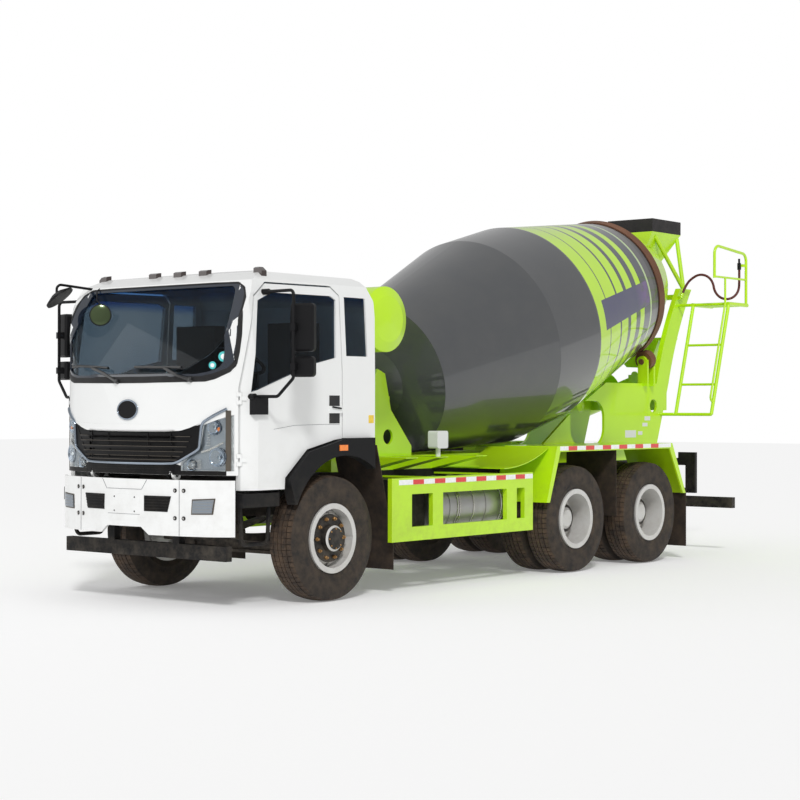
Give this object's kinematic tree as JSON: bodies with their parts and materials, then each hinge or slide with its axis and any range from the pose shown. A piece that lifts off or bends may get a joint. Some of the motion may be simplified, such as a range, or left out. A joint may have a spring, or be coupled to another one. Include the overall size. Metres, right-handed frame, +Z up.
{
  "type": "concrete mixer truck",
  "caption": "Truck with a tilting cab, a slanted revolving drum, a loading hopper, a swivelling chute, a rear ladder and a water tank.",
  "frame": {"origin": "on the ground in the middle of the truck's length and width, measured without the wash hose", "axes": "+X forwards along the truck, +Y to its left, +Z up"},
  "size_m": [8.499, 3.043, 3.79],
  "materials": {
    "lime_paint": "gloss",
    "cab_white": "gloss",
    "drum_paint": "gloss",
    "track_steel": "worn",
    "chassis_black": "satin",
    "axle_iron": "matte",
    "tyre_rubber": "matte",
    "rim_silver": "satin",
    "black_plastic": "matte",
    "window_glass": "polished",
    "lamp_lens": "polished",
    "lamp_amber": "polished",
    "grille_black": "gloss",
    "cab_lining": "matte",
    "skirt_rubber": "matte",
    "flap_rubber": "matte",
    "hose_rubber": "satin",
    "nozzle_black": "satin",
    "tail_red": "gloss",
    "box_white": "satin",
    "tank_grey": "satin"
  },
  "bodies": {
    "chassis": {"chassis_frame": "chassis_black", "mixer_subframe": "lime_paint", "engine_block": "axle_iron", "front_axle": "axle_iron", "drive_axles": "axle_iron", "front_bumper": "cab_white", "underrun_bars": "chassis_black", "cab_steps": "black_plastic", "side_guards": "lime_paint", "fuel_tank": "tank_grey", "chassis_boxes": "chassis_black", "rear_mudguards": "lime_paint", "mud_flaps": "flap_rubber", "tail_lamps": "tail_red", "front_pedestal": "lime_paint", "drum_gearbox": "axle_iron", "rear_pedestal": "lime_paint", "hopper": "lime_paint", "hopper_skirt": "skirt_rubber", "collector": "lime_paint", "ladder": "lime_paint", "water_tank": "lime_paint", "control_box": "box_white", "wash_hose": "hose_rubber", "hose_nozzle": "nozzle_black"},
    "cab": {"cab_body": "cab_white", "cab_glass": "window_glass", "grille": "grille_black", "headlamps": "lamp_lens", "cab_interior": "cab_lining", "cab_trim": "lamp_amber", "kerb_mirror": "black_plastic", "wheel_arches": "black_plastic"},
    "door_left": {"door_left": "cab_white", "door_glass_left": "window_glass", "mirror_left": "black_plastic"},
    "door_right": {"door_right": "cab_white", "door_glass_right": "window_glass", "mirror_right": "black_plastic"},
    "steer_left": {"knuckle_left": "axle_iron"},
    "steer_right": {"knuckle_right": "axle_iron"},
    "wheel_front_left": {"tyre_front_left": "tyre_rubber", "rim_front_left": "rim_silver"},
    "wheel_front_right": {"tyre_front_right": "tyre_rubber", "rim_front_right": "rim_silver"},
    "wheels_mid_left": {"tyres_mid_left": "tyre_rubber", "rims_mid_left": "rim_silver"},
    "wheels_mid_right": {"tyres_mid_right": "tyre_rubber", "rims_mid_right": "rim_silver"},
    "wheels_rear_left": {"tyres_rear_left": "tyre_rubber", "rims_rear_left": "rim_silver"},
    "wheels_rear_right": {"tyres_rear_right": "tyre_rubber", "rims_rear_right": "rim_silver"},
    "drum": {"drum_body": "drum_paint", "drum_ring": "track_steel"},
    "roller_left": {"roller_left": "track_steel"},
    "roller_right": {"roller_right": "track_steel"},
    "chute_swivel": {"chute_yoke": "lime_paint"},
    "chute": {"main_chute": "lime_paint"},
    "chute_end": {"chute_extension": "lime_paint"}
  },
  "joints": [
    {"name": "cab_tilt", "type": "hinge", "parent": "chassis", "child": "cab", "pos_m": [4.13, 0, 1.075], "axis": [0, 1, 0], "range_deg": [0, 42]},
    {"name": "door_left_hinge", "type": "hinge", "parent": "cab", "child": "door_left", "pos_m": [3.937, 1.015, 1.5], "axis": [0, 0, -1], "range_deg": [0, 65]},
    {"name": "door_right_hinge", "type": "hinge", "parent": "cab", "child": "door_right", "pos_m": [3.937, -1.015, 1.5], "axis": [0, 0, 1], "range_deg": [0, 65]},
    {"name": "steer_left", "type": "hinge", "parent": "chassis", "child": "steer_left", "pos_m": [2.925, 0.77, 0.526], "axis": [0, 0, 1], "range_deg": [-33, 33]},
    {"name": "steer_right", "type": "hinge", "parent": "chassis", "child": "steer_right", "pos_m": [2.925, -0.77, 0.526], "axis": [0, 0, 1], "range_deg": [-33, 33]},
    {"name": "wheel_front_left_spin", "type": "hinge", "parent": "steer_left", "child": "wheel_front_left", "pos_m": [2.925, 0.982, 0.526], "axis": [0, 1, 0], "continuous": true},
    {"name": "wheel_front_right_spin", "type": "hinge", "parent": "steer_right", "child": "wheel_front_right", "pos_m": [2.925, -0.982, 0.526], "axis": [0, 1, 0], "continuous": true},
    {"name": "wheels_mid_left_spin", "type": "hinge", "parent": "chassis", "child": "wheels_mid_left", "pos_m": [-0.625, 0.912, 0.526], "axis": [0, 1, 0], "continuous": true},
    {"name": "wheels_mid_right_spin", "type": "hinge", "parent": "chassis", "child": "wheels_mid_right", "pos_m": [-0.625, -0.912, 0.526], "axis": [0, 1, 0], "continuous": true},
    {"name": "wheels_rear_left_spin", "type": "hinge", "parent": "chassis", "child": "wheels_rear_left", "pos_m": [-2.025, 0.912, 0.526], "axis": [0, 1, 0], "continuous": true},
    {"name": "wheels_rear_right_spin", "type": "hinge", "parent": "chassis", "child": "wheels_rear_right", "pos_m": [-2.025, -0.912, 0.526], "axis": [0, 1, 0], "continuous": true},
    {"name": "drum_spin", "type": "hinge", "parent": "chassis", "child": "drum", "pos_m": [-0.575, 0, 2.282], "axis": [-0.9659, 0, 0.2588], "continuous": true},
    {"name": "roller_left_spin", "type": "hinge", "parent": "chassis", "child": "roller_left", "pos_m": [-3.11283, 0.48822, 2.15314], "axis": [-0.9659, 0, 0.2588], "continuous": true},
    {"name": "roller_right_spin", "type": "hinge", "parent": "chassis", "child": "roller_right", "pos_m": [-3.11283, -0.48822, 2.15314], "axis": [-0.9659, 0, 0.2588], "continuous": true},
    {"name": "chute_swing", "type": "hinge", "parent": "chassis", "child": "chute_swivel", "pos_m": [-3.89, 0, 1.645], "axis": [0, 0, -1], "range_deg": [0, 100]},
    {"name": "chute_raise", "type": "hinge", "parent": "chute_swivel", "child": "chute", "pos_m": [-3.89, 0, 2], "axis": [1, 0, 0], "range_deg": [-8, 14]},
    {"name": "chute_fold", "type": "hinge", "parent": "chute", "child": "chute_end", "pos_m": [-3.89, -1.01589, 1.63344], "axis": [1, 0, 0], "range_deg": [0, 178]}
  ],
  "couplings": [
    {"joint": "steer_right", "follows": "steer_left", "ratio": 1},
    {"joint": "roller_left_spin", "follows": "drum_spin", "ratio": -7.7714},
    {"joint": "roller_right_spin", "follows": "drum_spin", "ratio": -7.7714}
  ]
}
